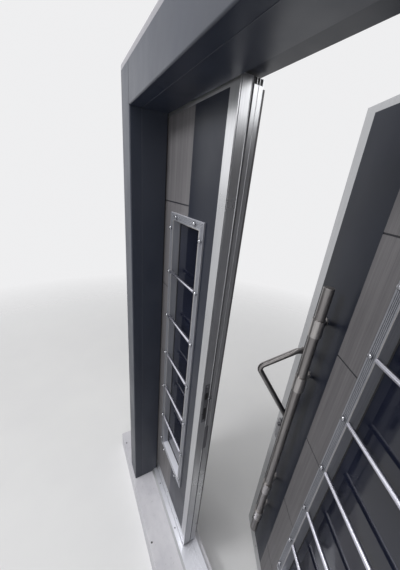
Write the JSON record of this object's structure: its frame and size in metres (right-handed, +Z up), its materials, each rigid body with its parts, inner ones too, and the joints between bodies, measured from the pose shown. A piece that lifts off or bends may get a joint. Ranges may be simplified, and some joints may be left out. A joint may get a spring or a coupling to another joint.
{
  "type": "steel entrance door",
  "caption": "Steel entrance door with a wide leaf set ajar beside a narrow closed leaf, barred windows, a long pull tube and a cased frame on a plinth.",
  "frame": {"origin": "centre of the plinth's underside, midway along the door and across the plinth's depth", "axes": "+X along the door to the right as seen from outside, +Y inwards, the way the leaves open, +Z up"},
  "size_m": [2.052, 0.6882, 2.387],
  "materials": {
    "anthracite_casing": "satin film on board",
    "anthracite_steel": "satin powder coat",
    "grey_wood": "matt grey laminate",
    "aluminium": "satin anodised",
    "chrome": "polished",
    "stainless": "brushed",
    "dark_glass": "tinted double glazing",
    "white_plinth": "white painted board",
    "lock_steel": "plated"
  },
  "bodies": {
    "frame": {"plinth": "white_plinth", "threshold": "aluminium", "casing_post_left": "anthracite_casing", "casing_post_right": "anthracite_casing", "casing_header": "anthracite_casing", "reveal_lining_left": "anthracite_casing", "reveal_lining_right": "anthracite_casing", "reveal_lining_head": "anthracite_casing", "steel_jamb_left": "anthracite_steel", "steel_jamb_right": "anthracite_steel", "steel_head": "anthracite_steel", "back_trim_left": "anthracite_casing", "back_trim_right": "anthracite_casing", "back_trim_head": "anthracite_casing"},
    "passive_leaf": {"passive_leaf_core": "anthracite_steel", "passive_wood_panel": "grey_wood", "passive_edge_trim": "aluminium", "passive_window_frame_outer": "aluminium", "passive_window_frame_inner": "aluminium", "passive_window_glass": "dark_glass", "passive_window_rod_1": "chrome", "passive_window_rod_2": "chrome", "passive_window_rod_3": "chrome", "passive_window_rod_4": "chrome", "passive_window_rod_5": "chrome", "passive_strike_plate": "lock_steel", "passive_inner_panel": "grey_wood"},
    "active_leaf": {"active_leaf_core": "anthracite_steel", "active_wood_panel": "grey_wood", "active_edge_trim": "aluminium", "active_window_frame_outer": "aluminium", "active_window_frame_inner": "aluminium", "active_window_glass": "dark_glass", "active_window_rod_1": "chrome", "active_window_rod_2": "chrome", "active_window_rod_3": "chrome", "active_window_rod_4": "chrome", "active_window_rod_5": "chrome", "active_lock_face_plate": "lock_steel", "active_lock_escutcheon": "lock_steel", "active_pull_tube": "stainless", "active_bent_handle": "chrome", "active_pull_mounts": "stainless", "active_inner_panel": "grey_wood", "active_inner_lever_handle": "stainless"}
  },
  "joints": [
    {"name": "active_leaf_hinge", "type": "hinge", "parent": "frame", "child": "active_leaf", "pos_m": [0.678, 0.142, 1.2], "axis": [0, 0, -1], "range_deg": [-27, 63]},
    {"name": "passive_leaf_hinge", "type": "hinge", "parent": "frame", "child": "passive_leaf", "pos_m": [-0.678, 0.142, 1.2], "axis": [0, 0, 1], "range_deg": [0, 90]}
  ]
}
